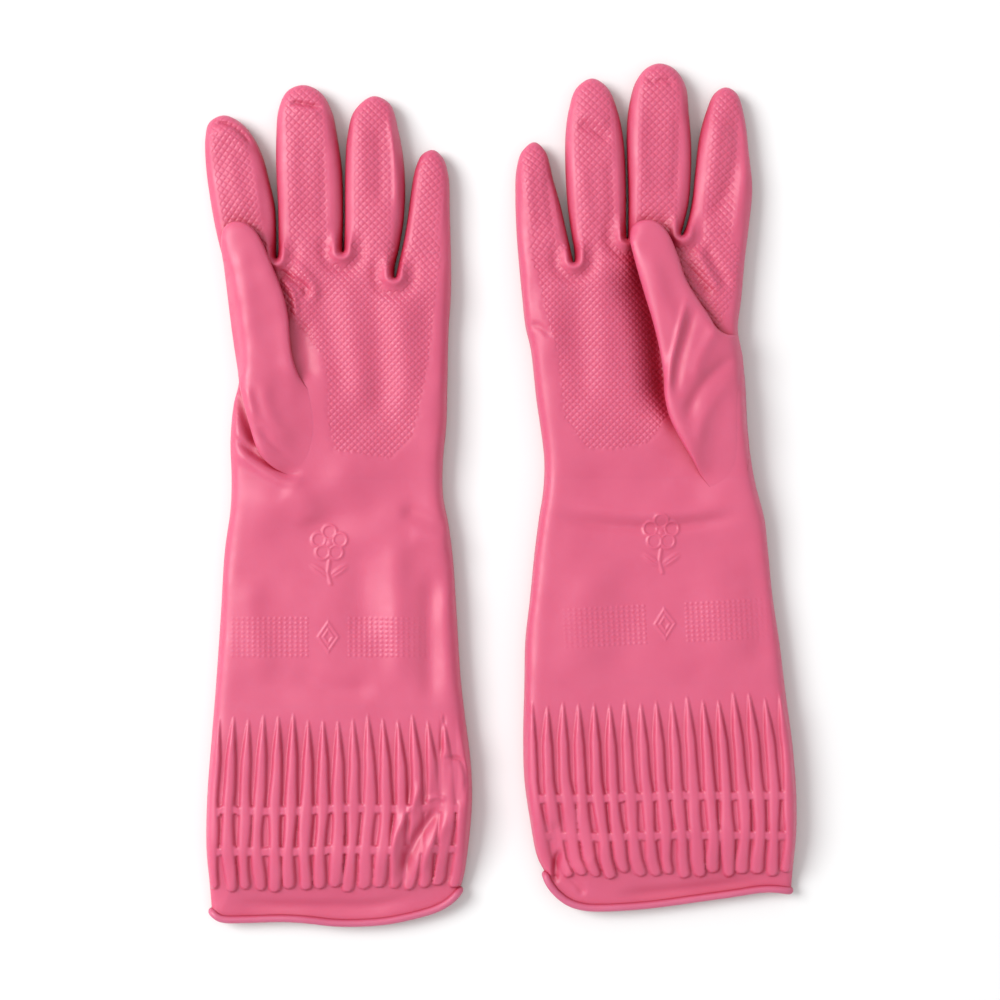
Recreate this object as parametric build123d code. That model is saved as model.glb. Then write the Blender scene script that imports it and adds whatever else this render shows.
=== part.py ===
from build123d import *
import math
import os

# A pair of long household gloves in thin latex, lying palm up and side by side.
# Millimetres. X runs from the left glove to the right glove, Y from the cuffs
# to the fingertips, Z up from the table. The origin is the middle of the
# pair's footprint, on the table. Each glove is a flattened, hollow tube of film,
# split into regions where the film bends like a living hinge.

# Driving dimensions
PAIR_LENGTH = 388.4        # longest fingertip to lowest cuff bead
PAIR_WIDTH = 265.8         # over both gloves
FILM = 0.6                 # thickness of the latex film
SLEEVE_HEIGHT = 14.0       # sleeve and palm, lying flattened
FINGER_HEIGHT = 12.0       # fingers, lying flattened
THUMB_HEIGHT = 12.0        # thumb, lying on the palm
GAP = 0.3                  # free play at each bending line
SLEEVE_ROUND = 5.5         # edge radius of the sleeve
FINGER_ROUND = 4.8         # edge radius of a finger or thumb
BEAD_DIAMETER = 3.6        # rolled bead at the mouth of the cuff
STUB_LENGTH = 34.0         # how far each finger's root runs back into the palm
STUB_STEP = 0.35           # how much thinner a finger's root is than the palm, on each face
PORT_RADIUS = 8.0          # way from the palm up into the thumb
THUMB_BACK = 10.0          # how far the thumb's open end lies behind the port's middle
TAIL = 20.0                # spare length that is cut off at an open end

TIP_Y = PAIR_LENGTH / 2
SIDE_X = PAIR_WIDTH / 2
THUMB_FLOOR = SLEEVE_HEIGHT + GAP

# One glove each: widths as (y, x at the left edge, x at the right edge), and
# fingers as (bending line's middle, fingertip, half width at the line, tip radius).
GLOVES = {
    "left": {
        "bead_y": -TIP_Y + BEAD_DIAMETER / 2,
        "cuff_top": (-98.0, -129.0, -16.6),
        "cuff_widest": (-137.0, -SIDE_X, -13.0),
        "cuff_mouth": (-130.2, -18.4),
        "wrist": (-15.0, -122.6, -23.6),
        "palm": [(-120.8, 10.0), (-117.8, 56.0), (-123.5, 100.0), (-101.0, 104.0), (-71.0, 109.0),
                 (-48.0, 98.0), (-24.0, 98.0), (-22.6, 60.0), (-26.2, 10.0)],
        "fingers": {
            "index": ((-113.7, 126.6), (-123.5, 170.9), 13.1, 9.5),
            "middle": ((-85.9, 122.2), (-88.2, 184.4), 13.4, 10.5),
            "ring": ((-56.8, 119.5), (-57.3, 179.9), 13.2, 9.0),
            "little": ((-34.0, 115.9), (-30.4, 155.3), 9.0, 5.5),
        },
        "thumb": ((-103.4, 40.3), (-113.7, 113.7), 13.5, 8.5),
    },
    "right": {
        "bead_y": -184.8,
        "cuff_top": (-92.0, 10.5, 127.0),
        "cuff_widest": (-137.0, 13.0, SIDE_X),
        "cuff_mouth": (20.5, 130.5),
        "wrist": (-15.0, 16.5, 118.0),
        "palm": [(19.2, 10.0), (13.0, 71.6), (8.0, 100.0), (32.0, 103.0), (56.0, 113.0),
                 (82.0, 113.0), (111.0, 110.0), (107.5, 76.0), (112.8, 10.0)],
        "fingers": {
            "little": ((18.8, 117.7), (13.9, 158.9), 10.1, 5.5),
            "ring": ((43.0, 122.2), (40.7, 187.5), 13.2, 9.5),
            "middle": ((70.7, 126.6), (71.6, TIP_Y), 13.9, 11.0),
            "index": ((98.5, 124.0), (101.6, 183.5), 12.4, 7.0),
        },
        "thumb": ((87.7, 44.8), (65.8, 113.7), 15.0, 8.5),
    },
}


def round_long_edges(solid, radius):
    """Round the edges that run around the top and the underside of a flat piece."""
    top = solid.faces().sort_by(Axis.Z)[-1]
    bottom = solid.faces().sort_by(Axis.Z)[0]
    return fillet(top.edges() + bottom.edges(), radius)


def slab(outline, height, radius, shrink=0.0):
    """A flat rounded piece on the table; shrink makes the hollow inside it."""
    face = make_face(outline)
    if shrink:
        face = offset(face, -shrink, kind=Kind.INTERSECTION)
    body = extrude(face, height - 2 * shrink)
    return Pos(0, 0, shrink) * round_long_edges(body, radius - shrink)


def hollow(outline, height, radius):
    """The film of a flat piece: its outside less its inside."""
    return slab(outline, height, radius) - slab(outline, height, radius, FILM)


def beyond(level, inner, reach):
    """The level that continues the sides in a straight line past an end."""
    share = 1 + reach / abs(level[0] - inner[0])
    return tuple(start + (end - start) * share for start, end in zip(inner, level))


def film_band(levels):
    """A flattened tube through (y, left x, right x) levels, open at both ends."""
    first = beyond(levels[0], levels[1], TAIL)
    last = beyond(levels[-1], levels[-2], TAIL)
    levels_out = [first, *levels[1:-1], last]
    left = [(x, y) for y, x, _ in levels_out]
    right = [(x, y) for y, _, x in reversed(levels_out)]
    tube = hollow(Polyline(left + right, close=True), SLEEVE_HEIGHT, SLEEVE_ROUND)
    low, high = levels[0][0], levels[-1][0]
    window = Pos(0, (low + high) / 2, SLEEVE_HEIGHT / 2)
    return tube & window * Box(2 * PAIR_WIDTH, high - low, 2 * SLEEVE_HEIGHT)


def finger_frame(root, tip):
    """Length of a finger, and its place with Y along it."""
    run_x, run_y = tip[0] - root[0], tip[1] - root[1]
    turn = math.degrees(math.atan2(-run_x, run_y))
    return math.hypot(run_x, run_y), Pos(root[0], root[1]) * Rot(Z=turn)


def capsule(length, base_radius, tip_radius):
    """Outline with two round ends, the base on the origin and the tip along Y."""
    turn = math.asin((base_radius - tip_radius) / length)
    side_x, side_y = math.cos(turn), math.sin(turn)
    base_right = (base_radius * side_x, base_radius * side_y)
    base_left = (-base_right[0], base_right[1])
    tip_right = (tip_radius * side_x, length + tip_radius * side_y)
    tip_left = (-tip_right[0], tip_right[1])
    return [
        Line(base_right, tip_right),
        ThreePointArc(tip_right, (0, length + tip_radius), tip_left),
        Line(tip_left, base_left),
        ThreePointArc(base_left, (0, -base_radius), base_right),
    ]


def finger(root, tip, half_width, tip_radius):
    """One finger, closed at the tip and open at the bending line."""
    length, place = finger_frame(root, tip)
    tube = hollow(capsule(length - tip_radius, half_width, tip_radius), FINGER_HEIGHT, FINGER_ROUND)
    keep = Pos(0, GAP + length / 2, FINGER_HEIGHT / 2) * Box(4 * half_width, length, 2 * FINGER_HEIGHT)
    return place * (tube & keep)


def stub(root, tip, half_width, shrink=0.0, spare=0.0):
    """The short square root of a finger that belongs to the palm, a little thinner than the palm."""
    place = finger_frame(root, tip)[1]
    length = STUB_LENGTH + spare
    height = SLEEVE_HEIGHT - 2 * (STUB_STEP + shrink)
    block = Box(2 * (half_width - shrink), length, height)
    return place * Pos(0, spare - length / 2, SLEEVE_HEIGHT / 2) * block


def palm(glove):
    """Palm of the glove with the roots of its fingers, open at the wrist and at every finger."""
    wrist_y, left_x, right_x = glove["wrist"]
    corners = [(left_x, wrist_y - TAIL)] + glove["palm"] + [(right_x, wrist_y - TAIL)]
    face = make_face(Polyline(corners, close=True))
    outside = extrude(face, SLEEVE_HEIGHT)
    inside = extrude(offset(face, -FILM, kind=Kind.INTERSECTION), SLEEVE_HEIGHT - 2 * FILM)
    inside = Pos(0, 0, FILM) * inside
    for root, tip, half_width, _ in glove["fingers"].values():
        outside += stub(root, tip, half_width)
        inside += stub(root, tip, half_width, FILM, spare=10.0)
    port_x, port_y = glove["thumb"][0]
    port = Pos(port_x, port_y, SLEEVE_HEIGHT) * Cylinder(PORT_RADIUS, 4 * FILM)
    window = Pos(0, wrist_y + GAP + PAIR_LENGTH / 2, 0)
    return (outside - inside - port) & window * Box(2 * PAIR_WIDTH, PAIR_LENGTH, 4 * SLEEVE_HEIGHT)


def thumb(base, tip, base_radius, tip_radius):
    """The thumb, closed at the tip; its base is open behind and down into the palm."""
    length, place = finger_frame(base, tip)
    tube = hollow(capsule(length, base_radius, tip_radius), THUMB_HEIGHT, FINGER_ROUND)
    reach = length + 2 * base_radius
    keep = Pos(0, reach / 2 - THUMB_BACK, THUMB_HEIGHT / 2) * Box(4 * base_radius, reach, 2 * THUMB_HEIGHT)
    port = Cylinder(PORT_RADIUS, 4 * FILM)
    return place * Pos(0, 0, THUMB_FLOOR) * ((tube & keep) - port)


def bead(left_x, right_x, y):
    """The rolled bead around the mouth of the cuff."""
    radius = BEAD_DIAMETER / 2
    middle = Pos((left_x + right_x) / 2, y, SLEEVE_HEIGHT / 2)
    ring = RectangleRounded(right_x - left_x - BEAD_DIAMETER, SLEEVE_HEIGHT - BEAD_DIAMETER, 5.0)
    path = middle * Rot(X=90) * ring.wire()
    start = path @ 0
    section = Plane(origin=start, z_dir=path % 0) * Circle(radius)
    return sweep(section, path)


def build_glove(glove):
    """Every region of one glove, by name."""
    cuff_low = glove["bead_y"] + BEAD_DIAMETER / 2
    wrist, cuff_top = glove["wrist"], glove["cuff_top"]
    mouth = (cuff_low, *glove["cuff_mouth"])
    pieces = {
        "sleeve": film_band([cuff_top, wrist]),
        "ribbed_cuff": film_band([mouth, glove["cuff_widest"], cuff_top]),
        "cuff_bead": bead(*glove["cuff_mouth"], glove["bead_y"]),
        "palm": palm(glove),
        "thumb": thumb(*glove["thumb"]),
    }
    for name, shape in glove["fingers"].items():
        pieces[name + "_finger"] = finger(*shape)
    return pieces


os.makedirs("parts", exist_ok=True)
for side, glove in GLOVES.items():
    for name, piece in build_glove(glove).items():
        export_step(piece, f"parts/{side}_{name}.step")
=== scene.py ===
import bpy
import math
import numpy as np
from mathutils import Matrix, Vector
from mathutils.geometry import delaunay_2d_cdt
from mathutils.kdtree import KDTree


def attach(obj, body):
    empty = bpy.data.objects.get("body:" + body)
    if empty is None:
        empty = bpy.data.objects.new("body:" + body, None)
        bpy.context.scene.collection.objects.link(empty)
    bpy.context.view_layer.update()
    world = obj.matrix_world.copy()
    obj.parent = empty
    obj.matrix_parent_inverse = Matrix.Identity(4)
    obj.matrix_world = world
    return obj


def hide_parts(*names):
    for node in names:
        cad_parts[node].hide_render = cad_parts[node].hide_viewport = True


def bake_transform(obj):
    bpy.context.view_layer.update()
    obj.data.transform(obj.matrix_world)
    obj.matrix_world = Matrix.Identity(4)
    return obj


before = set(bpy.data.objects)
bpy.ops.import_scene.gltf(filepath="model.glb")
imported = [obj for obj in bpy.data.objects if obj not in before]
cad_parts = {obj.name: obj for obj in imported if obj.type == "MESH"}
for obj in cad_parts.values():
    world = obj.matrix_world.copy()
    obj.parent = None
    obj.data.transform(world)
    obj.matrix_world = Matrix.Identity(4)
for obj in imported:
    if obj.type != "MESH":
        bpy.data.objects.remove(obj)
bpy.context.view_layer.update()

# A pair of long latex gloves, palm up. Shapes are worked out in millimetres in the frame's
# own axes (X to the right glove, Y to the fingertips, Z up) and written out in metres.
MM = 0.001

# The pillow that each glove makes on the table
REACH = 8.0             # how far from an edge the film swells to its full height
EDGE_LEVEL = 5.0        # height of the side edges over the table
SWELL = 8.2             # height of the upper film over its edges
MOUTH_SWELL = 2.5       # the same at the open mouth
UNDERSIDE = 0.25        # height of the lower film over the table
LIP_RISE = 1.5          # the same, further, at the mouth
EDGE_ROUND = 0.35       # share of the squared swelling over which an edge rounds off
BEAD_RADIUS = 1.75
BEAD_GAP = 3.6          # least height between the bead's two runs
FOLD_STRENGTH = 0.72    # share of each fold's listed height

# Moulded relief
RIBS = 17
RIB_HEIGHT = 1.7
RIB_TAPER = 19.0        # length of a rib's pointed top
RIB_HEEL = 2.6          # length of its rounded foot
BAR_HEIGHT = 1.15
BAR_HALF = 2.1          # half width of the bars that join the ribs
SLEEVE_POINTS = 14      # outline points along each side of the sleeve
GRIP_PITCH = 3.0        # between diamonds on the palm
FINGER_PITCH = 3.35     # between diamonds on the fingers
GRIP_DEPTH = 0.3
GRIP_LINE = 0.31        # half width of a cut line
WEB_CLEAR = 6.5         # plain film round the foot of each gap
DOT_PITCH = (2.37, 2.06)
DOT_HEIGHT = 0.2
DOT_RADIUS = 0.66
MARK_CLEAR = 7.8        # plain film beside the lozenge
PETAL_RING = 5.0        # from the heart to a petal's middle
PETAL_RADIUS = 3.0

# Mesh steps, and the rows of points that follow each outline
FINE_STEP = 0.38
RIB_STEP = 0.66
PLAIN_STEP = 1.25
THUMB_STEP = 0.95
UNDER_STEP = 2.3
EDGE_ROWS = (0.22, 0.6, 1.15)
UNDER_ROWS = (0.3, 0.9, 1.9)

# Where the film bends between two bodies
WRIST_END = 7.0
BEND_START = -7.0       # where each finger starts to bend, from its hinge
KNUCKLE_LINE = 90.0     # no finger reaches below this

# Outlines run clockwise from the left end of the cuff's mouth, as seen from above. A thumb's
# outline has a third column: how far its edge is lifted, 0 where it runs into the palm.
LEFT = {
    "outline": [
        (-130, -187), (-131, -174.5), (-132.3, -159), (-132, -136.5), (-130, -109.5), (-128.5, -91.5),
        (-126, -56), (-124, -24.5), (-121.5, -6.5), (-121, 6.5), (-121.5, 24.5), (-120, 41), (-118, 49),
        (-117, 59.5), (-118.5, 73), (-120.5, 86), (-122.5, 98), (-125.5, 108.5), (-128, 118.5),
        (-130.5, 132), (-132.6, 148), (-132.8, 161), (-131, 167.5), (-124.5, 170.7), (-117, 167.5),
        (-111, 160.5), (-107, 152), (-104.5, 143), (-101.6, 130), (-101, 118.5), (-100.9, 109.5),
        (-100.5, 106), (-100.1, 109.5), (-100, 118.5), (-100.2, 129.5), (-101, 145.5), (-101, 161),
        (-100, 173), (-96, 181.5), (-88.5, 184.3), (-81, 181), (-76, 172.5), (-73.5, 161),
        (-71.5, 147.5), (-71, 136.5), (-70.9, 123), (-71.1, 113), (-70.8, 109), (-70.5, 113),
        (-70.2, 123), (-70.2, 136.5), (-70, 147.5), (-69, 161.5), (-66, 172.5), (-57.5, 179.3),
        (-50, 176), (-46, 163.5), (-43.7, 150), (-43, 137.5), (-43.6, 124), (-45.5, 112),
        (-47.8, 101.5), (-47.5, 97.5), (-46.8, 100.8), (-44.2, 112), (-42, 124), (-40.5, 135.5),
        (-38.5, 146.5), (-35.5, 153), (-30.5, 155.2), (-26, 151.5), (-23.5, 143), (-23, 127.5),
        (-22.5, 109.5), (-22.5, 89.5), (-23.5, 74), (-24, 51.5), (-24.5, 31.5), (-26, 15.5), (-26, 0),
        (-23.5, -13.5), (-21.5, -29), (-20, -51.5), (-18, -83), (-16, -100.5), (-13.5, -121),
        (-13, -138.5), (-14.5, -156.5), (-16.5, -170.5), (-18.5, -177.5)],
    "mouth": [(-18.5, -177.5), (-22, -181.5), (-28.5, -185.5), (-38.5, -188.5), (-50.5, -191),
              (-61.5, -192), (-74.5, -192), (-87.5, -190.5), (-98, -190), (-116.5, -190.5),
              (-126.5, -190), (-130, -187)],
    "fingers": {
        "index": {"hinge": (-113.7, 126.6), "tip": (-123.5, 170.9), "base": (-112.5, 106),
                  "grip_end": (-122.8, 164), "grip_half": 8.2},
        "middle": {"hinge": (-85.9, 122.2), "tip": (-88.2, 184.4), "base": (-85.5, 106),
                   "grip_end": (-88, 177), "grip_half": 8.6},
        "ring": {"hinge": (-56.8, 119.5), "tip": (-57.3, 179.9), "base": (-57, 106),
                 "grip_end": (-57.3, 172), "grip_half": 8.0},
        "little": {"hinge": (-34.0, 115.9), "tip": (-30.4, 155.3), "base": (-35.5, 99),
                   "grip_end": (-30.6, 149), "grip_half": 5.6},
    },
    "palm_grip": [(-112, 112), (-100, 101.5), (-95.5, 84), (-87.5, 71.5), (-79.5, 62), (-77, 50),
                  (-77, 32.5), (-73.5, 20), (-49.5, 16.5), (-39.5, 26.5), (-34.5, 48), (-31, 69),
                  (-29.5, 88), (-27, 104), (-27, 112)],
    "thumb": [
        (-118.6, 121.9, 1), (-113.7, 121, 1), (-109.4, 117.6, 1), (-106.2, 112.5, 1),
        (-103.2, 105.5, 1), (-99.6, 97, 1), (-96.4, 88, 1), (-94.6, 79.5, 1), (-93.9, 71, 1),
        (-93.2, 64, 1), (-91.6, 57.5, 0.9), (-89.2, 52, 0.5), (-85.5, 46.5, 0.15), (-80.5, 40, 0),
        (-78.6, 31, 0), (-79.6, 21, 0), (-84, 12, 0), (-91, 8.5, 0), (-98, 10.3, 0.3),
        (-103.6, 14, 0.6), (-108, 19.5, 0.85), (-111.6, 30, 1), (-114.8, 41.6, 1), (-117.4, 53.3, 1),
        (-120, 69.4, 1), (-122.3, 87.3, 1), (-124.2, 104.3, 1), (-124.8, 113.5, 1), (-123, 119.5, 1)],
    "thumb_edge": 3.4,
    "thumb_swell": 2.9,
    "bulge": ((-92, 31), (28, 28), 8, 2.6),
    "webs": [(-100.5, 105), (-70.9, 108), (-47.6, 97)],
    "thumb_blend": ((-95.0, 22.0), (-108.0, 62.0)),
    "band": {"middle": (-77, -63.3), "half": (44.5, 8.9), "turn": 0.0},
    "emblem": (-76.5, -27.0),
    "mark": (-77, -63.3),
    "rib_top": (-98.5, -98.5),
    "rib_bottom": (-177.5, -175.5),
    "bars": [(-141, -139.5), (-159, -158)],
    "slack": [([(-24, -122), (-31, -143), (-38, -154), (-43, -170)], 5.0),
              ([(-20, -100), (-19, -135)], 3.0)],
    "seed": 3,
}
RIGHT = {
    "outline": [
        (20, -170), (16.3, -162.5), (13, -145.5), (10.5, -127.5), (10, -107.5), (10.5, -87.5),
        (11, -65), (13, -47), (15, -27), (17, -11), (19, 2), (19.5, 15.5), (18, 29), (16, 42.5),
        (15, 51.5), (13.5, 65), (11, 76), (9.5, 89.5), (8, 105), (7, 118.5), (6.5, 134), (7, 146.5),
        (9.5, 154.5), (15, 158.7), (20, 154.5), (23.5, 142), (27, 129.5), (29.5, 118.5), (31.8, 108.5),
        (32.7, 104.5), (33, 108.5), (31.5, 118.5), (30, 129.5), (29, 145.5), (29, 161.5), (30.5, 173),
        (34, 183), (41, 187.3), (48, 183), (52.5, 172.5), (55, 160.5), (56, 147.5), (56.3, 134),
        (56.3, 122), (56.7, 115), (57.1, 122), (57.2, 134), (56.8, 147.5), (56.5, 161.5), (57.5, 174.5),
        (60.5, 185.5), (65.5, 192), (71.5, 194), (78, 191.5), (83, 184), (84.5, 171.5), (85.5, 159),
        (85.5, 145.5), (84.5, 132), (82.2, 121.5), (81, 116.5), (83, 120.5), (85.7, 131), (87.2, 144.5),
        (89, 160), (92, 171.5), (96, 180.5), (101, 183.3), (106, 180.5), (109.5, 169.5), (111.5, 153.5),
        (113, 137.5), (111.5, 121), (109.5, 104.5), (108, 87.5), (106.5, 74.5), (108, 65),
        (109.5, 51.5), (110.5, 31.5), (112.5, 15.5), (114.5, 4.5), (118.5, -11), (120, -24.5),
        (122, -45), (125, -65), (128, -89.5), (131, -112), (132.7, -134), (132.7, -152), (131.5, -166),
        (130.5, -178)],
    "mouth": [(130.5, -178), (125.5, -177), (118, -176.8), (104.5, -178.8), (86.5, -181.3),
              (68, -183.8), (49.5, -185.1), (38, -185), (30.5, -182.8), (25, -178.6), (21.3, -173.8),
              (20, -170)],
    "fingers": {
        "little": {"hinge": (18.8, 117.7), "tip": (13.9, 158.9), "base": (21.0, 104),
                   "grip_end": (14.4, 152), "grip_half": 5.6},
        "ring": {"hinge": (43.0, 122.2), "tip": (40.7, 187.5), "base": (44, 106),
                 "grip_end": (41, 180), "grip_half": 8.4},
        "middle": {"hinge": (70.7, 126.6), "tip": (71.6, 194.2), "base": (70, 108),
                   "grip_end": (71.5, 187), "grip_half": 8.6},
        "index": {"hinge": (98.5, 124.0), "tip": (101.6, 183.5), "base": (96.5, 108),
                  "grip_end": (101.3, 176), "grip_half": 6.4},
    },
    "palm_grip": [(13, 112), (16.5, 100), (19, 85.5), (25, 64.5), (28.5, 34.5), (38.5, 21),
                  (51.5, 20.5), (66, 23.5), (78, 40), (88, 60), (98, 76), (105, 92), (107, 112)],
    "thumb": [
        (62.8, 122.3, 1), (68.8, 121.8, 1), (74.2, 116.8, 1), (78.4, 107.4, 1), (82.4, 95.8, 1),
        (87.3, 87.5, 1), (92.2, 80.3, 1), (96.3, 74, 0.9), (100.5, 71.5, 0.7), (105, 71, 0.5),
        (107.6, 65, 0.35), (109, 56, 0.2), (110, 44, 0), (110.6, 31, 0), (110.8, 17, 0), (107, 4, 0),
        (98.5, -0.5, 0), (90.5, 6.8, 0.2), (85.2, 15.6, 0.7), (79.6, 25, 0.95), (75, 34.5, 1.05),
        (72.7, 44, 1.1), (72.2, 53, 1.2), (70.6, 63.5, 1.3), (67.4, 77, 1.3), (63.2, 91, 1.2),
        (59.4, 104.3, 1.2), (57.4, 114, 1.1), (58.6, 119.8, 1)],
    "thumb_edge": 4.2,
    "thumb_swell": 3.6,
    "bulge": ((104, 38), (17, 34), 6, 3.6),
    "webs": [(32.7, 104), (56.7, 114.5), (81, 116)],
    "thumb_blend": ((100.0, 30.0), (84.0, 66.0)),
    "band": {"middle": (73.6, -57.2), "half": (46.8, 8.3), "turn": 3.0},
    "emblem": (71.5, -22.0),
    "mark": (73.2, -57.5),
    "rib_top": (-93.0, -88.0),
    "rib_bottom": (-170.5, -170.5),
    "bars": [(-135.5, -133.5), (-152.5, -151.5)],
    "slack": [([(24, -150), (26, -172)], 3.5)],
    "seed": 8,
}
GLOVES = {"left": LEFT, "right": RIGHT}


def smooth(value, low, high):
    """0 below low, 1 above high, eased between."""
    t = np.clip((value - low) / (high - low), 0, 1)
    return t * t * (3 - 2 * t)


def unit(vector):
    """The same direction, of length 1."""
    return vector / np.linalg.norm(vector)


def curve(points, step, closed=False):
    """Points about a step apart along a centripetal Catmull-Rom curve, with any further columns."""
    p = np.array(points, float)
    ends = (p[-1:], p[:2]) if closed else (2 * p[:1] - p[1:2], 2 * p[-1:] - p[-2:-1])
    q = np.vstack((ends[0], p, ends[1]))
    spans = []
    for a, b, c, d in zip(q[:-3], q[1:-2], q[2:-1], q[3:]):
        gaps = [math.sqrt(max(np.linalg.norm(v[:2]), 1e-6)) for v in (b - a, c - b, d - c)]
        t0, t1, t2, t3 = np.cumsum([0.0] + gaps)
        count = max(1, round(np.linalg.norm((c - b)[:2]) / step))
        t = np.linspace(t1, t2, count, endpoint=False)[:, None]
        ab = (t1 - t) / (t1 - t0) * a + (t - t0) / (t1 - t0) * b
        bc = (t2 - t) / (t2 - t1) * b + (t - t1) / (t2 - t1) * c
        cd = (t3 - t) / (t3 - t2) * c + (t - t2) / (t3 - t2) * d
        abc = (t2 - t) / (t2 - t0) * ab + (t - t0) / (t2 - t0) * bc
        bcd = (t3 - t) / (t3 - t1) * bc + (t - t1) / (t3 - t1) * cd
        spans.append((t2 - t) / (t2 - t1) * abc + (t - t1) / (t2 - t1) * bcd)
    if not closed:
        spans.append(p[-1:])
    return np.vstack(spans)


def inside(points, ring):
    """Which points lie inside a closed ring."""
    order = np.argsort(points[:, 1])
    x, y = points[order].T
    odd = np.zeros(len(points), bool)
    for (ax, ay), (bx, by) in zip(ring, np.roll(ring, -1, axis=0)):
        part = slice(*np.searchsorted(y, sorted((ay, by))))
        if part.start < part.stop:
            odd[part] ^= x[part] < (bx - ax) * (y[part] - ay) / (by - ay) + ax
    result = np.zeros(len(points), bool)
    result[order] = odd
    return result


def path_distance(points, path):
    """Distance from each point to an open path, and how far along the path that is, 0 to 1."""
    path = np.array(path, float)
    lengths = np.linalg.norm(np.diff(path, axis=0), axis=1)
    starts = np.concatenate(([0], np.cumsum(lengths)))
    best = np.full(len(points), np.inf)
    along = np.zeros(len(points))
    for a, b, start, length in zip(path[:-1], path[1:], starts, lengths):
        t = np.clip(((points - a) @ (b - a)) / max(length * length, 1e-9), 0, 1)
        gap = np.linalg.norm(points - a - t[:, None] * (b - a), axis=1)
        closer = gap < best
        best[closer] = gap[closer]
        along[closer] = (start + t * length)[closer] / starts[-1]
    return best, along


def search_tree(points):
    """A tree that finds the nearest of some points, as seen from above."""
    tree = KDTree(len(points))
    for k, (x, y) in enumerate(points):
        tree.insert((x, y, 0), k)
    tree.balance()
    return tree


def near_ring(points, ring, radius):
    """Distance to a ring of close points, but never more than a radius."""
    tree = search_tree(ring)
    return np.array([min(tree.find((x, y, 0))[2], radius) for x, y in points])


def hexagons(low, high, step):
    """A hexagonal lattice over a rectangle."""
    rows = np.arange(low[1], high[1], step * math.sqrt(3) / 2)
    columns = np.arange(low[0], high[0], step)
    x, y = np.meshgrid(columns, rows)
    x = x + (np.arange(len(rows)) % 2)[:, None] * step / 2
    return np.column_stack((x.ravel(), y.ravel()))


def twice_area(points, tris):
    """Twice each triangle's area, negative where it is wound clockwise."""
    a, b, c = (points[tris[:, k]] for k in range(3))
    return (b - a)[:, 0] * (c - a)[:, 1] - (b - a)[:, 1] * (c - a)[:, 0]


def triangulate(ring, within):
    """Triangles of a ring and the points within it, wound to face up."""
    points = np.vstack((ring, within))
    count = len(ring)
    edges = [(k, (k + 1) % count) for k in range(count)]
    vectors = [Vector(p) for p in points.tolist()]
    within_ring = 1
    _, _, faces, origin, _, _ = delaunay_2d_cdt(vectors, edges, [], within_ring, 1e-6)
    back = [o[0] if o else -1 for o in origin]
    tris = np.array([[back[k] for k in f] for f in faces if len(f) == 3])
    tris = tris[(tris >= 0).all(axis=1)]
    area = twice_area(points, tris)
    tris[area < 0] = tris[area < 0][:, ::-1]
    return points, tris[np.abs(area) > 1e-9]


def relax(points, tris, fixed, values, swelling, steps=500):
    """Solves for a smooth field on the triangles: fixed points hold their values, the rest settle.

    When swelling, the field rises from the fixed edges towards 1 over REACH; otherwise it is the
    even spread between the fixed values. Conjugate gradients on the cotangent weights."""
    count = len(points)
    p = [points[tris[:, k]] for k in range(3)]
    double = twice_area(points, tris)
    rows, columns, weights = [], [], []
    for k in range(3):
        u, v = p[(k + 1) % 3] - p[k], p[(k + 2) % 3] - p[k]
        cotangent = np.clip((u * v).sum(axis=1) / double, -5, 50) / 2
        rows += [tris[:, (k + 1) % 3], tris[:, (k + 2) % 3]]
        columns += [tris[:, (k + 2) % 3], tris[:, (k + 1) % 3]]
        weights += [cotangent, cotangent]
    rows, columns, weights = map(np.concatenate, (rows, columns, weights))
    mass = np.bincount(tris.ravel(), np.repeat(np.abs(double) / 6, 3), count)
    pull = mass / REACH ** 2 if swelling else 0 * mass
    diagonal = np.bincount(rows, weights, count) + pull + 1e-9
    free = ~fixed

    def apply(x):
        return (diagonal * x - np.bincount(rows, weights * x[columns], count)) * free

    x = np.where(fixed, values, 0.0)
    residual = pull * free - apply(x)
    z = residual / diagonal
    direction = z.copy()
    energy = residual @ z
    for _ in range(steps):
        image = apply(direction)
        share = energy / max(direction @ image, 1e-30)
        x += share * direction
        residual -= share * image
        z = residual / diagonal
        update = residual @ z
        if update < 1e-9:
            break
        direction = z + (update / energy) * direction
        energy = update
    return x


def ripple(points, size, seed, parts=7):
    """A smooth random surface between about -1 and 1, with features of a given size."""
    random = np.random.default_rng(seed)
    total = np.zeros(len(points))
    for _ in range(parts):
        angle = random.uniform(0, math.pi)
        pace = 2 * math.pi / (size * random.uniform(0.7, 1.6))
        wave = points @ np.array((math.cos(angle), math.sin(angle)))
        total += np.sin(wave * pace + random.uniform(0, 2 * math.pi))
    return total / math.sqrt(parts) / 1.4


def stroke(points, path, width, height, fade=0.25):
    """A ridge (or a groove, with a negative height) along a given path."""
    path = curve(path, 2.0)
    low, high = path.min(axis=0) - 3 * width, path.max(axis=0) + 3 * width
    near = ((points > low) & (points < high)).all(axis=1)
    lift = np.zeros(len(points))
    gap, along = path_distance(points[near], path)
    ends = smooth(along, 0, fade) * smooth(1 - along, 0, fade)
    lift[near] = height * np.exp(-(gap / width) ** 2) * ends
    return lift


def local(points, origin, degrees):
    """Coordinates across and along a frame turned anticlockwise."""
    turn = math.radians(degrees)
    moved = points - np.array(origin)
    across = moved @ np.array((math.cos(turn), math.sin(turn)))
    along = moved @ np.array((-math.sin(turn), math.cos(turn)))
    return across, along


# ---- Moulded relief ----

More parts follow.
